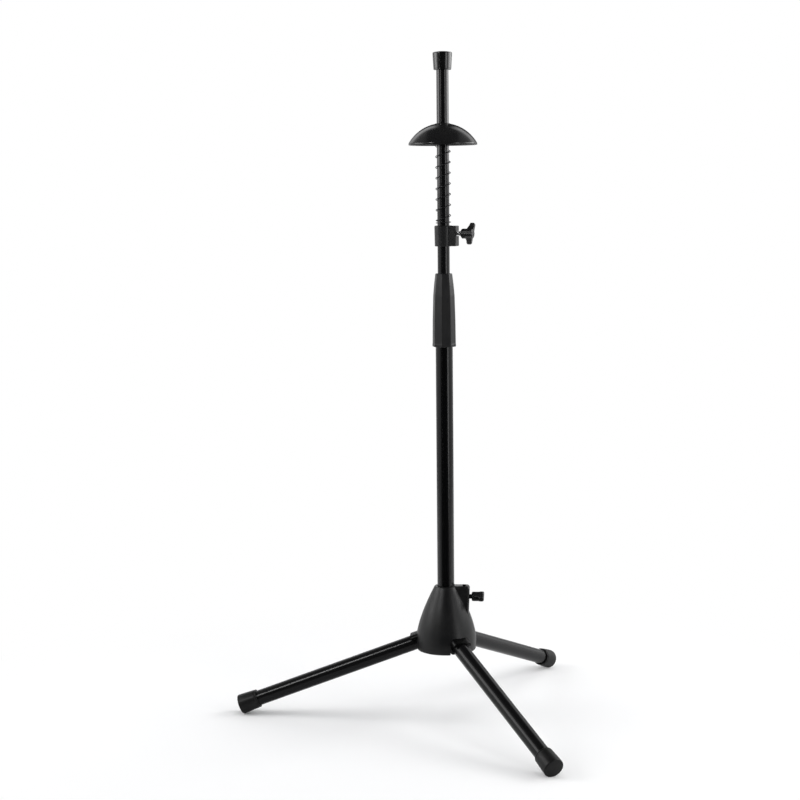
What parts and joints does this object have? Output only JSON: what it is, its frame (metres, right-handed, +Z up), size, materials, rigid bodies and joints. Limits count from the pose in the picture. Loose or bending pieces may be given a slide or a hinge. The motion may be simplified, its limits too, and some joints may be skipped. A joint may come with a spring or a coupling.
{
  "type": "trombone stand",
  "caption": "Folding tripod stand with a telescoping mast and a sprung dome that carries a brass instrument by its bell",
  "frame": {"origin": "middle of the footprint of the three spread legs' bounding box, on the floor", "axes": "+Z up along the mast; +X from the mast towards the hub's wing screw; the left leg lies along -X"},
  "size_m": [0.3862, 0.4428, 0.7805],
  "materials": {
    "moulded_black_plastic": "satin",
    "matte_black_plastic": "matte",
    "gloss_black_lacquer": "gloss",
    "black_rubber": "matte",
    "bright_zinc_steel": "bright",
    "turned_brass": "bright",
    "blackened_spring_wire": "satin",
    "natural_nylon": "satin"
  },
  "bodies": {
    "hub": {"hub_housing": "moulded_black_plastic", "hub_square_nut": "bright_zinc_steel", "hub_pressure_pad": "turned_brass", "leg_pin_left": "bright_zinc_steel", "leg_pin_front": "bright_zinc_steel", "leg_pin_rear": "bright_zinc_steel"},
    "hub_knob": {"hub_wing_knob": "moulded_black_plastic", "hub_screw_stud": "bright_zinc_steel"},
    "mast": {"main_tube": "gloss_black_lacquer", "mast_end_plug": "matte_black_plastic", "clutch_body": "matte_black_plastic", "clutch_collet": "natural_nylon"},
    "grip": {"grip_sleeve": "matte_black_plastic"},
    "rod": {"inner_rod": "gloss_black_lacquer", "rod_bush": "natural_nylon", "rod_cap": "black_rubber"},
    "collar": {"spring_collar": "matte_black_plastic", "collar_insert": "turned_brass", "collar_pressure_pad": "turned_brass", "bell_spring": "blackened_spring_wire"},
    "collar_knob": {"collar_wing_knob": "moulded_black_plastic", "collar_screw_stud": "bright_zinc_steel"},
    "dome": {"bell_dome": "moulded_black_plastic"},
    "leg_left": {"leg_knuckle_left": "moulded_black_plastic", "leg_tube_left": "gloss_black_lacquer", "foot_cap_left": "black_rubber"},
    "leg_front": {"leg_knuckle_front": "moulded_black_plastic", "leg_tube_front": "gloss_black_lacquer", "foot_cap_front": "black_rubber"},
    "leg_rear": {"leg_knuckle_rear": "moulded_black_plastic", "leg_tube_rear": "gloss_black_lacquer", "foot_cap_rear": "black_rubber"}
  },
  "joints": [
    {"name": "leg_left_fold", "type": "hinge", "parent": "hub", "child": "leg_left", "pos_m": [0.03507, 0, 0.0942], "axis": [0, -1, 0], "range_deg": [0, 68]},
    {"name": "leg_front_fold", "type": "hinge", "parent": "hub", "child": "leg_front", "pos_m": [0.07107, -0.02078, 0.0942], "axis": [0.866, 0.5, 0], "range_deg": [0, 68]},
    {"name": "leg_rear_fold", "type": "hinge", "parent": "hub", "child": "leg_rear", "pos_m": [0.07107, 0.02078, 0.0942], "axis": [-0.866, 0.5, 0], "range_deg": [0, 68]},
    {"name": "hub_knob_turn", "type": "hinge", "parent": "hub", "child": "hub_knob", "pos_m": [0.05907, 0, 0.1452], "axis": [1, 0, 0], "range_deg": [0, 360]},
    {"name": "mast_slide", "type": "slide", "parent": "hub", "child": "mast", "axis": [0, 0, 1], "range_m": [-0.27, 0]},
    {"name": "grip_turn", "type": "hinge", "parent": "mast", "child": "grip", "pos_m": [0.05907, 0, 0.48], "axis": [0, 0, 1], "range_deg": [0, 120]},
    {"name": "rod_slide", "type": "slide", "parent": "mast", "child": "rod", "axis": [0, 0, 1], "range_m": [0, 0.3]},
    {"name": "collar_slide", "type": "slide", "parent": "rod", "child": "collar", "axis": [0, 0, 1], "range_m": [-0.03, 0.05]},
    {"name": "collar_knob_turn", "type": "hinge", "parent": "collar", "child": "collar_knob", "pos_m": [0.05907, 0, 0.5734], "axis": [0.9511, -0.309, 0], "range_deg": [0, 360]},
    {"name": "dome_slide", "type": "slide", "parent": "collar", "child": "dome", "axis": [0, 0, 1], "range_m": [-0.06, 0], "stiffness_N_per_m": 374, "deforming": ["bell_spring"]}
  ]
}
